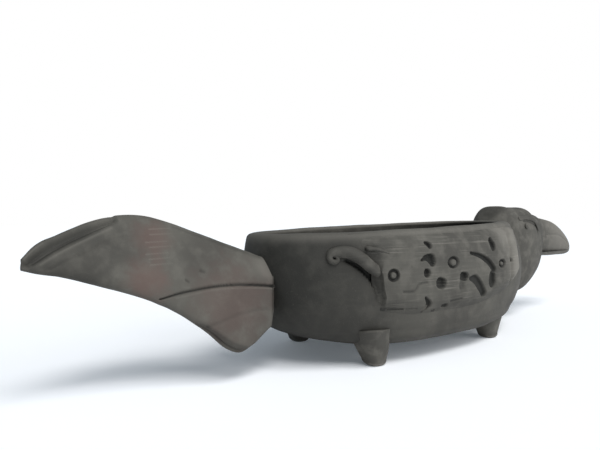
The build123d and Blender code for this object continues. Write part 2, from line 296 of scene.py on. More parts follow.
def closed_skin(name, rings, wear_and_painted_light=None, flip=False):
    """A closed mesh: neighbouring rings are joined by four-sided faces, and the first and the last
    ring are closed by a fan to their middle point.  Flip makes the same piece for the left side.
    The wear and painted light, from -1 in a deep mark, dark with soot and painted shade, to 1 on an
    edge that is rubbed or lit, pale with wear and painted highlight, is kept with the points."""
    if flip:
        rings = rings * (1, -1, 1)
    count, around = rings.shape[:2]
    index = np.arange(count * around).reshape(count, around)
    beside = np.roll(index, -1, axis=1)
    quads = np.stack([index[:-1], beside[:-1], beside[1:], index[1:]], axis=-1).reshape(-1, 4)
    first, last = count * around, count * around + 1
    fans = np.concatenate([
        np.stack([beside[0], index[0], np.full(around, first)], axis=-1),
        np.stack([index[-1], beside[-1], np.full(around, last)], axis=-1),
    ])
    points = np.concatenate([rings.reshape(-1, 3), rings[:1].mean(1), rings[-1:].mean(1)])
    centred = points - points.mean(0)
    a, b, c, d = (centred[quads[:, at]] for at in range(4))
    if np.sum(np.cross(c - a, d - b) * (a + b + c + d)) < 0:
        quads, fans = quads[:, ::-1], fans[:, ::-1]
    mesh = bpy.data.meshes.new(name)
    mesh.vertices.add(len(points))
    mesh.vertices.foreach_set("co", points.astype(np.float32).ravel())
    mesh.loops.add(quads.size + fans.size)
    corners = np.concatenate([quads.ravel(), fans.ravel()])
    mesh.loops.foreach_set("vertex_index", corners.astype(np.int32))
    mesh.polygons.add(len(quads) + len(fans))
    starts = np.concatenate([np.arange(len(quads)) * 4, quads.size + np.arange(len(fans)) * 3])
    mesh.polygons.foreach_set("loop_start", starts.astype(np.int32))
    mesh.polygons.foreach_set("use_smooth", np.ones(len(starts), bool))
    wear_and_painted_light = np.zeros((count, around)) if wear_and_painted_light is None else wear_and_painted_light
    wear = np.append(wear_and_painted_light.ravel(), (wear_and_painted_light[0, 0], wear_and_painted_light[-1, 0])).astype(np.float32)
    mesh.attributes.new("wear_and_painted_light", "FLOAT", "POINT").data.foreach_set("value", wear)
    mesh.update(calc_edges=True)
    if mesh.validate():
        raise RuntimeError(f"{name} has faulty faces")
    piece = bpy.data.objects.new(name, mesh)
    bpy.context.scene.collection.objects.link(piece)
    return piece


def finish_piece(piece, material, slot, *nodes):
    """Gives a piece its material, and lets it stand for its solids.  The slot is not used."""
    piece.data.materials.append(material)
    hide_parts(*nodes)
    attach(piece, "root")


def both_sides(material, slot, *pieces):
    """Makes pieces, each (name, node's name, rings, wear and painted light), at the right and
    mirrored at the left.
    """
    for side, flip in (("right", False), ("left", True)):
        for name, replaced, rings, wear_and_painted_light in pieces:
            piece = closed_skin(f"{side}_{name}", rings, wear_and_painted_light, flip)
            finish_piece(piece, material, slot, f"{side}_{replaced}")


# ---------------- the bowl's shape
def places():
    """Where the parts begin along X, worked out from the frame's ends and the sizes."""
    size = bpy.context.scene.burner_sizes
    tail_end = LOW.x + size.tail_length
    head_front = HIGH.x - size.beak_length
    return tail_end, tail_end + size.rim_half_length, head_front - size.head_length, head_front


def clearance():
    """Height of the bowl's underside."""
    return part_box("bowl_body")[0].z


def rim_at(x):
    """Height of the tilted rim at x."""
    size = bpy.context.scene.burner_sizes
    return size.rim_height + math.tan(size.rim_tilt) * (x - places()[1])


def bowl_section(height, rows=BODY_ROWS, inset=0.0):
    """The level's middle on X, half length and half width."""
    size = bpy.context.scene.burner_sizes
    share = (height - clearance()) / (size.rim_height - clearance())
    tail, head, side = along_rows(rows, share)
    tail, head = size.rim_half_length + tail - inset, size.rim_half_length + head - inset
    return places()[1] + (head - tail) / 2, (head + tail) / 2, size.rim_half_width + side - inset


def bowl_ring(turn, level, start, drop, rows=BODY_ROWS, inset=0.0):
    """Points of the bowl at each turn and level: the height runs from start (0) to the rim less
    the drop (1), and the rim's height is taken where the point stands.  Below, it is squarer."""
    across, along = oval(turn, BOWL_POWER + SQUARER_BELOW * step_up(-level, -SQUARER_UP_TO, 0))
    x = places()[1] + bpy.context.scene.burner_sizes.rim_half_length * across
    for _ in range(3):
        height = start + level * (rim_at(x) - drop - start)
        middle, half_length, half_width = bowl_section(height, rows, inset)
        x = middle + half_length * across
    return np.stack([x, half_width * along, height + 0 * x], axis=-1)


def bowl_side(x, z):
    """The right side of the bowl at (x, z): y = -b (1 - |x/a|^n)^(1/n) from the level's middle."""
    middle, half_length, half_width = bowl_section(z)
    share = np.clip(np.abs((x - middle) / half_length), 0, 0.999)
    return -half_width * (1 - share**BOWL_POWER) ** (1 / BOWL_POWER)


def side_normal(surface, x, z, reach=0.3 * MM):
    """Unit normals of a side given as y = surface(x, z), pointing to the right side."""
    slope_x = (surface(x + reach, z) - surface(x - reach, z)) / (2 * reach)
    slope_z = (surface(x, z + reach) - surface(x, z - reach)) / (2 * reach)
    normal = np.stack([slope_x, -np.ones_like(slope_x), slope_z], axis=-1)
    return normal / np.linalg.norm(normal, axis=-1, keepdims=True)


def haunch_edge(z):
    """X of the haunch's edge behind the wing, from the bowl's middle, in metres."""
    heights = np.array((28, 31, 34.6, 38.4, 41.4, 43.8, 46)) * MM
    edge = np.array((-48.4, -49.7, -51.6, -54.0, -56.8, -60.1, -63.8)) * MM
    return np.interp(z, heights, edge)


def bowl_rings():
    """The bowl as one closed surface of rings: underside, outside, lip, inside and floor."""
    size = bpy.context.scene.burner_sizes
    turn = turns(460)
    base, floor_height = clearance(), clearance() + size.floor
    spread = np.linspace(0.02, 1, UNDERSIDE_RINGS, endpoint=False)[:, None, None]
    foot = bowl_ring(turn, np.zeros((1, 1)), base, size.rim_round)
    centre = foot.mean((0, 1))
    underside = centre + (foot - centre) * spread
    level = np.linspace(0, 1, OUTSIDE_RINGS)[:, None]
    outside = bowl_ring(turn, level, base, size.rim_round)
    lip_turn = np.linspace(0, np.pi, 26)[1:-1, None]
    across, up = oval(lip_turn, 2.4)
    half_wall = size.wall / 2
    lip = bowl_ring(
        turn, np.ones((1, 1)), base, size.rim_round * (1 - up), inset=half_wall * (1 - across)
    )
    floor_row = BODY_ROWS[FLOOR_ROW].copy()
    floor_row[0] = size.floor / (size.rim_height - base)
    floor_row[1:] -= size.floor_round
    inner_rows = np.vstack([floor_row, BODY_ROWS[WALL_ROW:]])
    level = np.linspace(1, 0, 60)[:, None]
    inside = bowl_ring(turn, level, floor_height, size.rim_round, inner_rows, size.wall)
    centre = inside[-1].mean(0)
    spread = np.linspace(1, 0.02, 22)[1:, None, None]
    floor = centre + (inside[-1] - centre) * spread
    rings = np.concatenate([underside, outside, lip, inside, floor])
    wear_and_painted_light = np.zeros(rings.shape[:2])
    lip_start = len(underside) + len(outside)
    lip_end = lip_start + len(lip)
    # Painted highlight and rubbing: the lip and the top rings of the outer wall are painted pale,
    # rubbed and lit from above.
    rubbed_and_lit, fading = 0.32, 8
    wear_and_painted_light[lip_start - fading : lip_start] = np.linspace(0, rubbed_and_lit, fading)[:, None]
    wear_and_painted_light[lip_start:lip_end] = rubbed_and_lit
    # Painted shade inside the bowl: darker with depth below the rim and towards the head end, where
    # the light from the right does not reach; the top of the inner wall is painted pale where it is
    # lit.
    inner = rings[lip_end:]
    deep = step_up(rim_at(inner[..., 0]) - inner[..., 2], 1 * MM, 9 * MM)
    shade_and_soot = np.maximum(deep, step_up(inner[..., 0], 0, 60 * MM))
    wear_and_painted_light[lip_end:] = 0.3 - 0.85 * shade_and_soot
    return rings, wear_and_painted_light


# ---------------- the wing's marks
# Ring stamps in the wing: middle from the bowl's middle, and the ring's reach along X and Z.
RING_STAMPS = ((-43.6, 39.6, 2.1, 2.0), (-8.6, 43.4, 3.0, 2.1), (32.3, 40.8, 2.5, 1.5))

# Gouges in the wing: points from the bowl's middle, widths at start and end, depth, soft edge.
WING_GOUGES = (
    (((-25.7, 52.4), (-24.6, 52.0), (-23.2, 51.0)), (1.2, 2.2), 1.7, 0.8),
    (((23.2, 51.9), (24.0, 50.6), (25.0, 49.5)), (3.4, 4.4), 1.8, 0.9),
    (((-28.8, 45.2), (-26.0, 46.2), (-23.2, 45.6), (-22.3, 44.1)), (0.6, 2.2, 4.2, 3.4), 2.0, 0.9),
    (((-26.3, 41.0), (-25.7, 39.6)), (1.0, 3.6), 1.8, 0.8),
    (((-17.9, 34.9), (-16.6, 34.6)), (4.7, 4.7), 2.0, 0.9),
    (((-2.2, 36.8), (-0.2, 36.5)), (3.6, 3.8), 1.9, 0.9),
    (((-3.0, 35.0), (-3.2, 32.4)), (3.0, 3.6), 0.6, 1.8),
    (((4.7, 47.1), (11.8, 45.6), (19.0, 42.6), (23.9, 38.4)), (0.9, 2.0, 2.8, 3.4), 1.6, 1.0),
    (((22.0, 35.0), (21.8, 33.0)), (5.6, 6.2), 1.7, 1.0),
    (((3.6, 35.4), (7.6, 34.7), (10.8, 32.0), (14.4, 27.8)), (1.8, 4.2, 4.4, 3.4), 1.5, 1.4),
    (((-26.6, 29.1), (-24.5, 26.0), (-27.2, 22.9)), (0.9, 3.0, 0.8), 1.6, 0.9),
    (((-38.6, 32.3), (-33.3, 32.3), (-30.4, 35.0), (-25.9, 35.6)), (1.0, 1.4, 1.0), 0.5, 1.3),
    (((-48.6, 25.6), (-46.8, 25.3)), (1.4, 1.5), 0.9, 1.0),
    (((-45.2, 25.3), (-38.0, 25.0)), (1.0, 0.9), 0.7, 0.9),
    (((-36.5, 24.9), (-31.0, 24.7)), (0.7, 0.6), 0.4, 0.9),
    (((-21.2, 22.8), (-20.0, 22.7)), (1.2, 1.3), 0.9, 0.9),
    (((-15.2, 24.6), (-13.0, 24.6)), (1.4, 1.6), 1.0, 0.9),
    (((-10.5, 26.2), (-3.0, 26.8)), (0.9, 0.7), 0.5, 0.9),
    (((43.6, 42.6), (44.2, 41.6)), (1.0, 1.4), 1.2, 0.8),
    (((53.0, 48.6), (53.6, 46.6)), (1.0, 1.6), 0.9, 0.8),
)

# The wing's back edge, upwards, and its lower edge, forwards, from the bowl's middle and the rim.
WING_BACK = (
    (-51.5, -36.0), (-47.4, -30.5), (-48.4, -25.5), (-49.4, -19.0), (-54.0, -13.0), (-60.0, -5.0),
    (-64.0, 8.0),
)
WING_LOWER = (
    (-51.5, -36.0), (-43.0, -37.9), (-28.0, -39.9), (3.0, -40.1), (24.0, -38.0), (43.0, -33.4),
    (56.0, -26.0),
)
WING_HEIGHT, WING_LENGTH = 38, 104

# The raised strip along the wing's front, painted paler as a highlight, and the groove behind it,
# painted darker as shade: place on X and reach.
WING_STRIP, WING_GROOVE = (49.5, 4.4), (43.6, 1.2)


def wing_depth(x, z):
    """How far tools went into the wing at (x, z) from the bowl's middle, and its wear and painted
    light there: painted shade in the marks and the groove, painted highlight on the front strip and
    on the stamps' raised lips, pale drag lines.
    A stamp's groove is exp(-((d - 1) r / w)^4) at the share d of its reach r, with a raised lip
    outside it.  The drag lines are lumps stretched along X."""
    depth = np.zeros(x.shape)
    for points, widths, deep, edge in WING_GOUGES:
        depth = np.maximum(depth, deep * MM * stroke(x, z, points, widths, edge))
    for at_x, at_z, reach_x, reach_z in RING_STAMPS:
        apart = np.hypot((x / MM - at_x) / reach_x, (z / MM - at_z) / reach_z)
        past = (apart - 1) * (reach_x + reach_z) / 2
        depth = np.maximum(depth, 1.3 * MM * np.exp(-((past / 0.75) ** 4)))
        depth = depth - 0.2 * MM * np.exp(-(((past - 1.6) / 0.6) ** 2))
    # Painted shade: the marks are darker the deeper they go; the stamps' raised lips are painted a
    # little paler as highlight.
    wear_and_painted_light = -np.clip(depth / (1.2 * MM), -0.2, 1)
    lines = lumps(np.stack([x / 14, 0 * x, z / 0.5], axis=-1), MM, 3)
    where = lumps(np.stack([x / 2.4, 0 * x, z / 0.6], axis=-1), 9 * MM, 6)
    drag = step_up(lines, 0.62, 0.95) * step_up(where, 0.4, 0.75)
    off_strip, off_groove = ((x / MM - place) / reach for place, reach in (WING_STRIP, WING_GROOVE))
    strip = np.exp(-(off_strip**4)) * step_up(z, 22 * MM, 30 * MM)
    groove = np.exp(-(off_groove**2)) * step_up(z, 26 * MM, 32 * MM)
    depth = depth + 0.12 * MM * drag - 0.8 * MM * strip + 0.7 * MM * groove
    # Painted highlight on the raised front strip and painted shade in the groove behind it; the drag
    # lines are paler clay.
    return depth, wear_and_painted_light + 0.4 * strip - 0.12 * groove + 0.4 * drag


def wing_rings(columns=400, rows=200, behind=6):
    """The wing as rings across it from its back edge to its front edge: each runs up the front,
    from the lower edge to the rim, and down behind, inside the bowl's wall.  The front stands out
    by the relief.  At a firm edge it falls off by sqrt(1 - (1 - g)^2), at a soft one by
    3g^2 - 2g^3, and ends under the bowl's skin: the back is firm beside the hollow only."""
    size = bpy.context.scene.burner_sizes
    middle = places()[1]
    rim = size.rim_height
    across = (1 - np.cos(np.linspace(0, np.pi, columns)[:, None])) / 2 * 0.25
    across = across + np.linspace(0, 1, columns)[:, None] * 0.75
    up = np.linspace(0, 1, rows)[None, :]
    lower = smooth_line(WING_LOWER, 200) * MM
    spacing = np.linspace(0, 1, 200)
    back = smooth_line(WING_BACK, 200) * MM
    low_x, low_z = (np.interp(across, spacing, lower[:, at]) for at in (0, 1))
    top_z = rim_at(middle + low_x) - rim - 1.0 * MM
    z = rim + low_z + up * (top_z - low_z)
    x = low_x + (1 - across) ** 3 * (np.interp(z - rim, back[:, 1], back[:, 0]) - low_x[0])
    back_reach = 1.2 + 14 * step_up(z, 41 * MM, 47 * MM) + 6 * step_up(-z, -30 * MM, -26 * MM)
    edges = (
        (up * WING_HEIGHT / 8.0, 0.9),
        ((1 - up) * WING_HEIGHT / 6.0, 1.0),
        (across * WING_LENGTH / back_reach, step_up(back_reach, 1.2, 4.0)),
        ((1 - across) * WING_LENGTH / 4.5, 0.0),
    )
    height = np.ones_like(x)
    for gap, soft in edges:
        gap = np.clip(gap, 0, 1)
        firm = np.sqrt(1 - (1 - gap) ** 2)
        height = height * ((1 - soft) * firm + soft * gap**2 * (3 - 2 * gap))
    depth, wear_and_painted_light = wing_depth(x, z)

    def surface(at_x, at_z):
        return bowl_side(middle + at_x, at_z)

    points = np.stack([middle + x, surface(x, z), z], axis=-1)
    normal = side_normal(surface, x, z)
    rough = 0.35 * MM * lumps(points, 7 * MM, 2) + 0.15 * MM * lumps(points, 2.6 * MM, 14)
    sunk, buried = 0.9 * MM, 3.2 * MM
    out = height * (size.wing_relief + sunk - rough) - sunk - depth * step_up(height, 0.25, 0.5)
    front = points + normal * out[..., None]
    at = np.round(np.linspace(rows - 1, 0, behind)).astype(int)
    hidden = (points - normal * buried)[:, at]
    rings = np.concatenate([front, hidden], axis=1)
    return rings, np.concatenate([wear_and_painted_light, np.zeros((columns, behind))], axis=1)


def coil(line, widths, heights, surface, skew=(0, 0), around=28, sink=0.3):
    """A rolled coil laid on a side: along the line, given as (x, z), each ring is an oval as wide as
    the widths across the side and as high as the heights out of it, rounded off at both ends.
    Its height is sin t (1 + skew cos t), so a skew moves the crest below the line, and its back
    sinks into the side by that share of the height."""
    x, z = line[:, 0], line[:, 1]
    base = np.stack([x, surface(x, z), z], axis=-1)
    out = side_normal(surface, x, z)
    ahead = np.gradient(base, axis=0)
    ahead /= np.linalg.norm(ahead, axis=-1, keepdims=True)
    aside = np.cross(ahead, out)
    turn = turns(around)[..., None]
    share = np.linspace(0, 1, len(line))
    wide = np.interp(share, np.linspace(0, 1, len(widths)), widths) * MM / 2
    high = np.interp(share, np.linspace(0, 1, len(heights)), heights) * MM
    run = np.concatenate([[0], np.cumsum(np.linalg.norm(np.diff(base, axis=0), axis=-1))])
    gap = np.clip(np.minimum(run, run[-1] - run) / (0.9 * wide), 0, 1)
    blunt = np.sqrt(1 - (1 - gap) ** 2) * 0.96 + 0.04
    wide, high = (wide * blunt)[:, None, None], (high * blunt)[:, None, None]
    skewed = np.interp(share, np.linspace(0, 1, len(skew)), skew)[:, None, None]
    rise = np.sin(turn) * np.where(np.sin(turn) > 0, 1 + skewed * np.cos(turn), sink)
    return base[:, None] + aside[:, None] * wide * np.cos(turn) + out[:, None] * high * rise


# ---------------- head and beak shapes
def lump_section(rows, share):
    """Middle height, half height and half width of the head or beak at each share."""
    low, top, half_width = along_rows(rows, share)
    return bpy.context.scene.burner_sizes.rim_height + (low + top) / 2, (top - low) / 2, half_width


def lump_rings(rows, start, run, power, turn_aside, count, around, blunt):
    """Rings of the head or the beak along X, closed off at the front by a rounding: inside the
    last stretch, blunt long, the section shrinks by that stretch times 1 - sqrt(1 - u^2)."""
    share = np.linspace(rows[0, 0], 1, count)
    share = np.append(share, 1 - (blunt / run) * (1 - np.sin(np.linspace(0, np.pi / 2, 12))))
    share = np.sort(share)[:, None]
    middle, half_height, half_width = lump_section(rows, share)
    u = np.clip(1 - (1 - share) * run / blunt, 0, 1)
    shrink = blunt * (1 - np.sqrt(1 - u**2))
    across, up = oval(turns(around), power)
    x = start + share * run + 0 * across
    y = -turn_aside * share + (half_width - shrink) * across
    return np.stack([x, y, middle + (half_height - shrink) * up], axis=-1)


def head_side(x, z):
    """The right side of the head at (x, z)."""
    start = places()[2]
    share = (x - start) / bpy.context.scene.burner_sizes.head_length
    middle, half_height, half_width = lump_section(HEAD_ROWS, share)
    share = np.clip(np.abs((z - middle) / half_height), 0, 0.999)
    return -half_width * (1 - share**HEAD_POWER) ** (1 / HEAD_POWER)


# ---------------- materials
def empty_tree(owner):
    """The cleared node tree of a material or a world."""
    owner.use_nodes = True
    owner.node_tree.nodes.clear()
    return owner.node_tree


def node(tree, kind, inputs=None, **settings):
    """Adds a node with its settings, and puts values or other nodes' outputs into its inputs."""
    made = tree.nodes.new(kind)
    for name, value in settings.items():
        setattr(made, name, value)
    for name, value in (inputs or {}).items():
        if isinstance(value, bpy.types.NodeSocket):
            tree.links.new(value, made.inputs[name])
        else:
            made.inputs[name].default_value = value
    return made


def camera_sees(tree, output, others, camera):
    """Outputs one shader to the camera and another to every other ray."""
    seen = node(tree, "ShaderNodeLightPath").outputs["Is Camera Ray"]
    inputs = {0: seen, 1: others.outputs[0], 2: camera.outputs[0]}
    node(tree, output, {"Surface": node(tree, "ShaderNodeMixShader", inputs).outputs[0]})


def smoked_earthenware(name, ground, drag, streaks, smoke_and_shade=(), patches=(), grit=0.5):
    """Hand-built earthenware, scraped and smoke-fired without a glaze: dull grey-black with
    cloudy smoke marks a few centimetres wide, pale on rubbed edges and where a highlight is
    painted, dark with soot and painted shade in deep marks, with the grain of grog about 0.5 mm
    and the drag lines of a rib or brush along the clay.
    Ground is the share of light clay, drag the stretch of the drag lines along X, Y and Z in
    millimetres, streaks their strength, the smoke and shade list a list of (axis, darkest end,
    clear end, strength) along which soot and painted shade thin out, and patches a list of
    (place, radius, strength, colour), each with an edge broken up by the clouds."""
    clay = bpy.context.scene.burner_clay
    material = bpy.data.materials.new(name)
    tree = empty_tree(material)
    place = node(tree, "ShaderNodeTexCoord").outputs["Object"]
    axes = node(tree, "ShaderNodeSeparateXYZ", {0: place}).outputs
    wear_and_painted_light = node(tree, "ShaderNodeAttribute", attribute_name="wear_and_painted_light").outputs["Fac"]
    scale = [1 / (MM * stretch) for stretch in drag]
    stretched = node(tree, "ShaderNodeMapping", {"Vector": place, "Scale": scale})
    cloud, patch, grain, lines = (
        node(tree, "ShaderNodeTexNoise", {
            "Vector": where, "Scale": scale, "Detail": detail, "Roughness": rough,
        }).outputs["Fac"]
        for where, scale, detail, rough in (
            (place, 1 / (24 * MM), 4.0, 0.5), (place, 1 / (6 * MM), 4.0, 0.55),
            (place, 1 / (0.55 * MM), 3.0, 0.7), (stretched.outputs[0], 1.0, 3.0, 0.55),
        )
    )
    layers = [
        (cloud, 0.35, 0.65, 1.0, clay.mid), (patch, 0.42, 0.72, ground, clay.light),
        (lines, 0.52, 0.74, streaks, clay.light), (lines, 0.48, 0.28, streaks, clay.dark),
    ]
    for centre, radius, strength, colour_there in patches:
        apart = node(tree, "ShaderNodeVectorMath", {0: place, 1: centre}, operation="DISTANCE")
        ragged = node(tree, "ShaderNodeMath", {0: patch, 1: 1.2 * radius, 2: apart.outputs["Value"]},
                      operation="MULTIPLY_ADD")
        layers.append((ragged.outputs[0], 1.6 * radius, 0.8 * radius, strength, colour_there))
    # Soot and painted shade, darkest at one end of an axis and gone at the other.
    for axis, shade_and_soot, clean, strength in smoke_and_shade:
        layers.append((axes[axis], clean, shade_and_soot, strength, clay.soot_and_shade))
    # Wear and painted light: pale where the clay is rubbed and where a highlight is painted, dark
    # where soot lies and where shade is painted.
    layers += [
        (wear_and_painted_light, 0.0, 1.0, 1.0, clay.light), (wear_and_painted_light, 0.0, -1.0, 0.92, clay.soot_and_shade),
        (grain, 0.62, 0.75, 0.35 * grit, clay.soot_and_shade), (grain, 0.38, 0.27, 0.3 * grit, clay.light),
    ]
    tone = (*clay.dark, 1)
    for value, low, high, most, colour_there in layers:
        share = node(tree, "ShaderNodeMapRange", {
            "Value": value, "From Min": low, "From Max": high, "To Max": most,
        }, interpolation_type="SMOOTHSTEP")
        mixed = node(tree, "ShaderNodeMix", {0: share.outputs[0], 6: tone, 7: (*colour_there, 1)},
                     data_type="RGBA")
        tone = mixed.outputs[2]
    rough = node(tree, "ShaderNodeMapRange", {"Value": patch, "To Min": 0.6, "To Max": 0.85})
    relief = 0.0
    for value, weight in ((grain, 0.45 * grit), (lines, 2 * streaks), (patch, 1.0)):
        relief = node(tree, "ShaderNodeMath", {0: value, 1: weight, 2: relief},
                      operation="MULTIPLY_ADD").outputs[0]
    bump = node(tree, "ShaderNodeBump", {"Height": relief, "Strength": 0.6, "Distance": 0.35 * MM})
    shader = node(tree, "ShaderNodeBsdfPrincipled", {
        "Base Color": tone, "Roughness": rough.outputs[0], "Normal": bump.outputs[0], "IOR": 1.45,
        "Specular IOR Level": 0.35,
    })
    node(tree, "ShaderNodeOutputMaterial", {"Surface": shader.outputs[0]})
    return material


# ---------------- operators
class BurnerOperator:
    """What all the burner's operators share."""

    bl_options = {"REGISTER", "UNDO"}

    @classmethod
    def poll(cls, context):
        return context.scene is not None


class BURNER_OT_bowl(BurnerOperator, bpy.types.Operator):
    """Builds the oval bowl with its rounded lip, hollow and floor"""

    bl_idname = "burner.bowl"
    bl_label = "Bowl"

    def execute(self, context):
        rings, wear_and_painted_light = bowl_rings()
        middle = places()[1]
        x, z = rings[..., 0] - middle, rings[..., 2]
        depth = 0.5 * MM * lumps(rings, 19 * MM, 1) + 0.12 * MM * lumps(rings, 5 * MM, 4)
        past = x - haunch_edge(z)
        outside = np.arange(len(rings))[:, None] < UNDERSIDE_RINGS + OUTSIDE_RINGS
        above, below = step_up(z, 27 * MM, 29.5 * MM), step_up(-z, -50 * MM, -45 * MM)
        near = above * below * step_up(-x, 38 * MM, 40 * MM) * outside
        hollow = step_up(past, 0, 0.9 * MM) * near
        depth += (1.9 * hollow + 0.5 * step_up(past, -5 * MM, 0) * near) * MM
        # Painted shade: the hollow behind the haunch is painted dark.
        wear_and_painted_light = wear_and_painted_light - 0.85 * hollow
        piece = closed_skin("bowl", push(rings, depth), wear_and_painted_light)
        colours = context.scene.burner_clay
        clay = smoked_earthenware(
            "smoked_earthenware_bowl", ground=0.12, drag=(14, 14, 2.0), streaks=0.06,
            # Soot and painted shade: darker towards the tail end, which faces away from the light,
            # with the dark patch on it; also darker towards the underside.
            smoke_and_shade=[("X", middle - 75 * MM, middle - 12 * MM, 0.65), ("Z", 8 * MM, 26 * MM, 0.3)],
            patches=[((middle - 84 * MM, -14 * MM, 38 * MM), 22 * MM, 0.6, colours.soot_and_shade)],
        )
        finish_piece(piece, clay, "bowl_clay", "bowl_body")
        return {"FINISHED"}


class BURNER_OT_feet(BurnerOperator, bpy.types.Operator):
    """Builds the four stub feet, each a pinched cone from its sole to its root in the bowl"""

    bl_idname = "burner.feet"
    bl_label = "Feet"

    def execute(self, context):
        size = context.scene.burner_sizes
        clay = smoked_earthenware(
            "smoked_earthenware_feet", ground=0.25, drag=(2, 2, 9), streaks=0.08,
            # Painted shade: the feet are darker towards their roots, under the bowl.
            smoke_and_shade=[("Z", 22 * MM, 6 * MM, 0.2)],
        )
        across, along = oval(turns(96), FOOT_POWER)
        for name in ("foot_rear_right", "foot_rear_left", "foot_front_right", "foot_front_left"):
            low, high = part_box(name)
            share = np.linspace(0, 1, 60)[:, None] ** 1.2
            (widening,) = along_rows(FOOT_ROWS, share)
            radius = size.sole_radius + widening * (size.root_radius - size.sole_radius)
            centre = (low + high) / 2
            height = share * (high.z - low.z) + 0 * across
            x = centre.x + size.foot_flare * (0.35 - share) + radius * across
            points = np.stack([x, centre.y + radius * along, height], axis=-1)
            uneven = 0.45 * MM * lumps(points, 6 * MM, 7) * step_up(share, 0.0, 0.12)
            wear_and_painted_light = 0.5 * step_up(-share, -0.12, -0.04) + 0 * height
            piece = closed_skin(name.replace("foot", "foot_clay"), push(points, uneven), wear_and_painted_light)
            finish_piece(piece, clay, "bowl_clay", name)
        return {"FINISHED"}


# Lines in the tail: points on X and Z, widths, depth, how dark they are painted as shade on the
# groove's upper wall, soft edge, in millimetres.
TAIL_LINES = (
    (((-178.0, 48.6), (-173.0, 52.6), (-168.3, 55.2), (-163.0, 57.8), (-157.4, 60.1),
      (-149.6, 63.0)), (1.8, 3.4, 3.0, 1.2), 1.9, 0.60, 3.0),
    (((-176.6, 48.6), (-168.3, 54.1), (-163.0, 56.9), (-157.4, 59.2), (-151.6, 61.3)),
     (0.6, 0.9, 0.5), 0.5, 0.75, 0.9),
    (((-171.2, 46.6), (-165.4, 49.6), (-161.1, 51.2), (-157.4, 53.0), (-153.1, 55.2),
      (-146.4, 56.8)), (1.0, 1.2, 0.8), 0.5, 0.25, 1.8),
    (((-81.0, 34.6), (-91.1, 36.1), (-98.0, 36.9), (-106.7, 37.5), (-115.3, 37.5),
      (-123.7, 36.8), (-130.5, 35.8), (-136.7, 34.2)), (0.8, 0.9, 0.5), 1.0, 0.9, 0.6),
    (((-95.6, 27.5), (-102.6, 27.1), (-109.4, 26.0), (-115.1, 24.5), (-120.3, 23.0)),
     (1.2, 1.2), 0.35, 0.3, 1.8),
    (((-93.0, 47.7), (-107.8, 53.2), (-117.8, 57.0), (-127.4, 60.4)), (1.2, 1.0), 0.3, 0.35, 1.4),
    (((-120.0, 43.5), (-118.5, 43.0)), (1.0, 0.8), 0.4, 0.5, 0.9),
    (((-126.5, 40.5), (-125.6, 39.8)), (0.9, 0.7), 0.4, 0.5, 0.9),
)

# Ridges in the tail's near face, painted pale as highlights where they catch the light: points,
# widths, soft edge, how pale.
TAIL_RIDGES = (
    (((-174.0, 48.4), (-167.6, 52.4), (-161.0, 55.6), (-151.0, 59.8)), (0.9, 1.3, 0.9), 1.6, 0.3),
    (((-86.0, 34.5), (-98.0, 35.7), (-115.3, 36.3), (-131.0, 34.5)), (0.6, 0.5), 0.7, 0.3),
    (((-178.6, 50.4), (-176.1, 53.0), (-172.8, 55.4)), (0.8, 0.8), 1.4, 0.35),
)

# Heights of the short pale scratches across the reddish patch.
TAIL_SCRATCHES = (46.6, 48.6, 50.4, 52.8, 54.6, 57.4, 59.4)

# Where the near face's lower corner is pared off, its down-facing bevel painted darker as shade, and
# the slanting cut
# at the root: its place on the middle plane, its slope along Y, and how much is left of what stands
# past it.
TAIL_BEVEL = (
    (-131.0, 27.0), (-121.8, 25.4), (-116.6, 21.6), (-111.3, 17.6), (-105.3, 15.0), (-99.0, 12.4),
)
ROOT_CUT, ROOT_SLANT, ROOT_LEFT = 7.7 * MM, 0.72, 0.1
TAIL_POWER = 2.5


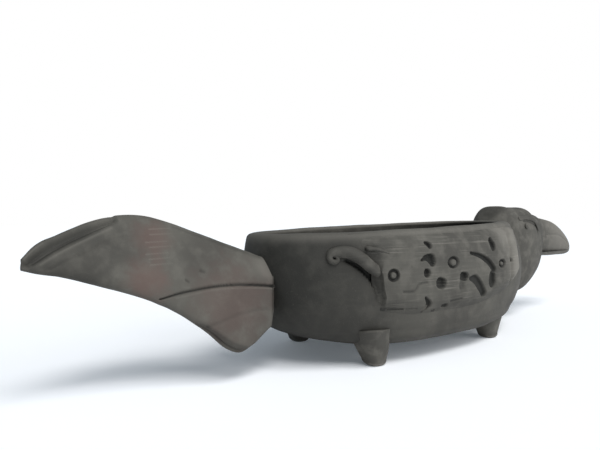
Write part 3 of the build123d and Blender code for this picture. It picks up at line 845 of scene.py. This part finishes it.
class BURNER_OT_tail(BurnerOperator, bpy.types.Operator):
    """Builds the leaning fan tail, a blade of flattened ovals with drawn feather lines"""

    bl_idname = "burner.tail"
    bl_label = "Tail"

    def execute(self, context):
        size = context.scene.burner_sizes
        tail_end = places()[0]
        share = np.linspace(TAIL_ROWS[0, 0], 1, 370)[:, None]
        lower, upper, half_thick = along_rows(TAIL_ROWS, share)
        across, up = oval(turns(250), TAIL_POWER)
        lean = size.tail_lean
        chord = (upper - lower) / 2 / math.cos(lean)
        centre_z = (lower + upper) / 2
        curled = step_up(-share, -0.2, 0.08)
        y = -size.tail_offset - size.tail_curl * curled + centre_z * math.tan(lean)
        y = y + chord * up * math.sin(lean) + half_thick * across * math.cos(lean)
        z = size.tail_root + centre_z + chord * up * math.cos(lean)
        z = z - half_thick * across * math.sin(lean)
        x = tail_end - share * size.tail_length + 0 * z
        end = tail_end + ROOT_CUT + ROOT_SLANT * y
        x = np.where(x > end, end + ROOT_LEFT * (x - end), x)
        rings = np.stack([x, y, z], axis=-1)
        depth = 0.3 * MM * lumps(rings, 15 * MM, 8) + 0.12 * MM * lumps(rings, 3.5 * MM, 9)
        wear_and_painted_light = 0.0 * x
        for points, widths, deep, shade_and_soot, edge in TAIL_LINES:
            cut = stroke(x, z, points, widths, edge)
            depth += deep * MM * cut
            wear_and_painted_light = np.minimum(wear_and_painted_light, -shade_and_soot * cut)
        near = across < 0
        for points, widths, edge, pale in TAIL_RIDGES:
            wear_and_painted_light = wear_and_painted_light + pale * stroke(x, z, points, widths, edge) * near
        for height in TAIL_SCRATCHES:
            shift = 1.6 * math.sin(3.1 * height)
            points = ((-139.0 + shift, height), (-130.4 + shift, height + 0.3))
            wear_and_painted_light = wear_and_painted_light + 0.35 * stroke(x, z, points, (0.5, 0.25), 0.5) * near
        bevel = np.array(TAIL_BEVEL) * MM
        below = np.interp(x, bevel[:, 0], bevel[:, 1]) - z
        fade = step_up(x, bevel[0, 0], bevel[2, 0])
        fade = fade * step_up(-x, -bevel[-1, 0] - 5 * MM, -bevel[-1, 0])
        below = np.clip(below, 0, None) * fade * near
        depth += np.clip(0.28 * below, 0, 1.3 * MM)
        # Painted shade on the bevel, which faces down.
        wear_and_painted_light = wear_and_painted_light - 0.4 * step_up(below, 0, 1.2 * MM)
        piece = closed_skin("tail", push(rings, depth), wear_and_painted_light)
        colours = context.scene.burner_clay
        clay = smoked_earthenware(
            "smoked_earthenware_tail", ground=0.12, drag=(5, 9, 12), streaks=0.05,
            patches=[((-137 * MM, 0, 55 * MM), 11 * MM, 0.45, colours.flash),
                     ((-141 * MM, -8 * MM, 42 * MM), 11 * MM, 0.5, colours.flash),
                     ((-108 * MM, -14 * MM, 32 * MM), 24 * MM, 0.3, colours.flash),
                     # Darker towards the tail's tip.
                     ((-166 * MM, -2 * MM, 52 * MM), 24 * MM, 0.3, colours.soot_and_shade),
                     ((-92 * MM, -10 * MM, 44 * MM), 8 * MM, 0.3, colours.light)],
        )
        finish_piece(piece, clay, "tail_clay", "tail_blade")
        return {"FINISHED"}


# The cut round the eye, the crease where the head meets the beak, and the groove along the beak; the
# cut and the crease are painted darker as shade, the groove a little.
BROW_CUT = (
    (98.7, 62.0), (103.4, 62.0), (108.2, 61.0), (113.7, 59.3), (115.6, 57.4), (117.0, 54.6),
)
HEAD_CREASE = ((116.5, 45.2), (121.0, 41.7))
BEAK_GROOVE = ((136.8, 52.6), (145.2, 52.6), (153.0, 52.2), (160.0, 50.6), (169.5, 46.8))


class BURNER_OT_head(BurnerOperator, bpy.types.Operator):
    """Builds head and neck as the one smoothed lump that they are, with the cut round the eye"""

    bl_idname = "burner.head"
    bl_label = "Head"

    def execute(self, context):
        size = context.scene.burner_sizes
        head_end = places()[2]
        rings = lump_rings(
            HEAD_ROWS, head_end, size.head_length, HEAD_POWER,
            turn_aside=0, count=240, around=300, blunt=1.6 * MM,
        )
        x, z = rings[..., 0], rings[..., 2]
        depth = 0.35 * MM * lumps(rings, 14 * MM, 11) + 0.1 * MM * lumps(rings, 4 * MM, 12)
        cut = stroke(x, z, BROW_CUT, (0.8, 1.4, 0.9), 1.0)
        crease = stroke(x, z, HEAD_CREASE, (0.8, 0.8), 1.6)
        depth += 0.6 * MM * cut + 0.2 * MM * crease
        # Painted shade in the cut round the eye and in the crease.
        piece = closed_skin("head", push(rings, depth), -0.55 * cut - 0.2 * crease)
        colours = context.scene.burner_clay
        clay = smoked_earthenware(
            "smoked_earthenware_head", ground=0.25, drag=(12, 12, 3), streaks=0.08,
            patches=[((head_end + 6 * MM, 0, 71 * MM), 17 * MM, 0.7, colours.dark)],
        )
        finish_piece(piece, clay, "head_clay", "head", "neck")
        return {"FINISHED"}


class BURNER_OT_beak(BurnerOperator, bpy.types.Operator):
    """Builds the hooked upper beak and the lower beak under its lip"""

    bl_idname = "burner.beak"
    bl_label = "Beak"

    def execute(self, context):
        size = context.scene.burner_sizes
        start = places()[3]
        colours = context.scene.burner_clay
        clay = smoked_earthenware(
            "smoked_earthenware_beak", ground=0.4, drag=(9, 9, 3), streaks=0.08,
            patches=[((start + 30 * MM, 0, 56 * MM), 34 * MM, 0.55, colours.light)],
        )
        whole = lump_rings(
            BEAK_ROWS, start, size.beak_length, BEAK_POWER,
            turn_aside=size.beak_turn, count=170, around=180, blunt=2.6 * MM,
        )
        hook = HIGH.x - size.beak_hook
        x, z = whole[..., 0], whole[..., 2]
        lip = np.where(x < hook, size.lip_height, 0) + 0 * z
        depth = 0.25 * MM * lumps(whole, 9 * MM, 13)
        groove = stroke(x, z, BEAK_GROOVE, (0.9, 1.4, 1.0), 2.0)
        depth = depth + 0.45 * MM * groove
        shaped = push(whole, depth)
        upper = shaped.copy()
        upper[..., 2] = np.maximum(shaped[..., 2], lip)
        # Painted shade: the groove along the beak is painted a little darker.
        piece = closed_skin("beak_upper", upper, -0.12 * groove)
        piece.data.shade_flat()
        finish_piece(piece, clay, "beak_clay", "upper_beak")
        keep = x[:, 0] < hook
        lower = shaped[keep].copy()
        mouth_gap = 0.02 * MM
        lower[..., 2] = np.minimum(lower[..., 2], size.lip_height - mouth_gap)
        piece = closed_skin("beak_lower", lower)
        piece.data.shade_flat()
        finish_piece(piece, clay, "beak_clay", "lower_beak")
        return {"FINISHED"}


# The scroll's curl and ribbon and the leaf over it, from the bowl's middle, on X and Z.
CURL_CENTRE = np.array((-67.6, 47.2))
SCROLL_RIBBON = np.array((
    (-64.8, 49.8), (-61.2, 49.2), (-57.0, 46.8), (-53.6, 43.9), (-50.8, 41.9), (-48.4, 40.9),
))
LEAF_LINE = ((-55.0, 51.0), (-50.0, 50.6), (-44.4, 48.8))


class BURNER_OT_wings(BurnerOperator, bpy.types.Operator):
    """Builds on each side the carved wing, the scroll behind it and the small leaf over that"""

    bl_idname = "burner.wings"
    bl_label = "Wings"

    def execute(self, context):
        middle = places()[1]
        colours = context.scene.burner_clay
        clay = smoked_earthenware(
            "smoked_earthenware_wing", ground=0.22, drag=(20, 20, 1.0), streaks=0.16,
            # Darker towards the tail end, painted shade away from the light on the right, and darker
            # towards the lower edge.
            smoke_and_shade=[("X", middle - 75 * MM, middle - 5 * MM, 0.3), ("Z", 20 * MM, 34 * MM, 0.25)],
            # Painted highlight: pale patches on each wing's front end, where the light from the
            # right falls on the strip; the upper one also stands for paler clay at the top corner.
            patches=[
                ((middle + along * MM, side * 34 * MM, height * MM), 16 * MM, 0.5, colours.light)
                for side in (-1, 1) for along, height in ((40, 56), (49, 40))
            ],
        )
        panel, panel_wear_and_light = wing_rings()
        angle = np.radians(np.linspace(450, 90, 9))
        radius = np.linspace(0.5, 2.3, 9)
        curl = CURL_CENTRE + np.stack([np.cos(angle), np.sin(angle)], axis=-1) * radius[:, None]
        line = smooth_line(np.concatenate([curl, SCROLL_RIBBON]), 150) * MM + (middle, 0)
        scroll = coil(
            line, (1.6, 1.9, 2.2, 2.6, 4.2, 5.4, 5.4, 4.6), (1.0, 1.1, 1.2, 1.3, 1.7, 2.3, 2.3, 1.2),
            bowl_side, (0, 0, 0, 0, 0.2, 0.45, 0.5),
        )
        leaf_line = smooth_line(LEAF_LINE, 50) * MM + (middle, 0)
        leaf = coil(leaf_line, (2.2, 3.0, 1.6), (1.3, 2.3, 1.8), bowl_side, (0.5, 0.5))
        both_sides(
            clay, "wing_clay", ("wing", "wing_panel", panel, panel_wear_and_light),
            ("scroll", "wing_scroll", scroll, None), ("leaf", "wing_leaf", leaf, None),
        )
        return {"FINISHED"}


class BURNER_OT_face(BurnerOperator, bpy.types.Operator):
    """Builds on each side of the head the brow, a thin coil, and the eye, a pressed pellet"""

    bl_idname = "burner.face"
    bl_label = "Brows and eyes"

    def execute(self, context):
        clay = bpy.data.materials["smoked_earthenware_head"]
        start = places()[2]
        brow_line = smooth_line(((94, 63.8), (103.5, 64.4), (113, 62.4), (119, 56.2)), 70) * MM
        brow = coil(brow_line, (2.6, 3.4, 2.6), (0.05, 0.8, 0.4), head_side)
        eye_line = smooth_line(((start / MM + 17.6, 59.3), (start / MM + 21.2, 58.6)), 30) * MM
        eye = coil(eye_line, (3.4, 3.4), (0.7, 0.7), head_side)
        both_sides(
            clay, "head_clay", ("brow_coil", "brow", brow, None), ("eye_pellet", "eye", eye, None)
        )
        return {"FINISHED"}


# The camera's place in millimetres, the way it looks on the table, and its pitch down in degrees.
CAMERA_PLACE, AHEAD, PITCH = (-204.5, -180.6, 62.5), (0.6047, 0.7964), 0.514
FOCAL_LENGTH, SENSOR_WIDTH = 30, 36
TABLE_REACH = 6.0
COOL, TABLE_GLOW = (0.8, 0.9, 1.0, 1), (0.82, 0.92, 1.0, 1)


class BURNER_OT_stage(BurnerOperator, bpy.types.Operator):
    """Sets up the white table, the soft light and the camera"""

    bl_idname = "burner.stage"
    bl_label = "Stage"

    def execute(self, context):
        stage = context.scene.burner_stage
        context.scene.view_settings.view_transform = "Standard"
        mesh = bpy.data.meshes.new("table")
        square = ((-1, -1), (1, -1), (1, 1), (-1, 1))
        corners = [(TABLE_REACH * x, TABLE_REACH * y, 0) for x, y in square]
        mesh.from_pydata(corners, [], [(0, 1, 2, 3)])
        table = bpy.data.objects.new("table", mesh)
        context.scene.collection.objects.link(table)
        material = bpy.data.materials.new("white_table")
        tree = empty_tree(material)
        paint = node(tree, "ShaderNodeBsdfDiffuse", {"Color": (*stage.floor, 1)})
        glow = node(tree, "ShaderNodeEmission", {"Color": TABLE_GLOW, "Strength": 0.1})
        both = node(tree, "ShaderNodeAddShader", {0: paint.outputs[0], 1: glow.outputs[0]})
        camera_sees(tree, "ShaderNodeOutputMaterial", paint, both)
        mesh.materials.append(material)

        world = bpy.data.worlds.new("studio")
        context.scene.world = world
        tree = empty_tree(world)
        room = node(tree, "ShaderNodeBackground", {"Color": COOL, "Strength": stage.fill})
        white = node(tree, "ShaderNodeBackground", {"Color": (1, 1, 1, 1), "Strength": 1.0})
        camera_sees(tree, "ShaderNodeOutputWorld", room, white)

        ahead = Vector((*AHEAD, 0))
        right = Vector((ahead.y, -ahead.x, 0))
        lights = (
            ("ceiling", stage.key / 2, 22, right * 0.15 - ahead * 0.75 + Vector((0, 0, 1))),
            ("skylight", stage.key / 2, 24, right * 0.48 - ahead * 0.3 + Vector((0, 0, 1))),
            ("window", stage.side, 50, right * 1.0 - ahead * 0.35 + Vector((0, 0, 0.42))),
        )
        for name, strength, angle, towards in lights:
            light = bpy.data.lights.new(name, "SUN")
            light.energy = strength
            light.angle = math.radians(angle)
            lamp = bpy.data.objects.new(name, light)
            lamp.rotation_mode = "QUATERNION"
            lamp.rotation_quaternion = towards.to_track_quat("Z", "Y")
            context.scene.collection.objects.link(lamp)

        lens = bpy.data.cameras.new("camera")
        lens.lens, lens.sensor_width = FOCAL_LENGTH, SENSOR_WIDTH
        camera = bpy.data.objects.new("camera", lens)
        camera.location = Vector(CAMERA_PLACE) * MM
        pitch = math.radians(PITCH)
        look = ahead * math.cos(pitch) - Vector((0, 0, math.sin(pitch)))
        camera.rotation_mode = "QUATERNION"
        camera.rotation_quaternion = look.to_track_quat("-Z", "Y")
        lens.clip_start = 5 * MM
        context.scene.collection.objects.link(camera)
        context.scene.camera = camera
        return {"FINISHED"}


STEPS = (
    BURNER_OT_bowl, BURNER_OT_feet, BURNER_OT_tail, BURNER_OT_head, BURNER_OT_beak,
    BURNER_OT_wings, BURNER_OT_face, BURNER_OT_stage,
)
GROUPS = {"burner_sizes": BurnerSizes, "burner_clay": BurnerClay, "burner_stage": BurnerStage}


class BURNER_PT_panel(bpy.types.Panel):
    """Lists the burner's sizes, colours and building steps"""

    bl_idname = "BURNER_PT_panel"
    bl_label = "Incense burner"
    bl_space_type = "VIEW_3D"
    bl_region_type = "UI"
    bl_category = "Incense burner"

    def draw(self, context):
        for group, kind in GROUPS.items():
            box = self.layout.box()
            box.label(text=kind.__doc__)
            for name in kind.__annotations__:
                box.prop(getattr(context.scene, group), name)
        for step in STEPS:
            self.layout.operator(step.bl_idname)


def register():
    """Makes the properties, operators and panel known to Blender."""
    for group, kind in GROUPS.items():
        bpy.utils.register_class(kind)
        setattr(bpy.types.Scene, group, PointerProperty(type=kind))
    for step in (*STEPS, BURNER_PT_panel):
        bpy.utils.register_class(step)


def unregister():
    """Takes them out again."""
    for step in (BURNER_PT_panel, *reversed(STEPS)):
        bpy.utils.unregister_class(step)
    for group, kind in GROUPS.items():
        delattr(bpy.types.Scene, group)
        bpy.utils.unregister_class(kind)


def main():
    register()
    for step in STEPS:
        group, call = step.bl_idname.split(".")
        getattr(getattr(bpy.ops, group), call)()


if __name__ == "__main__":
    main()
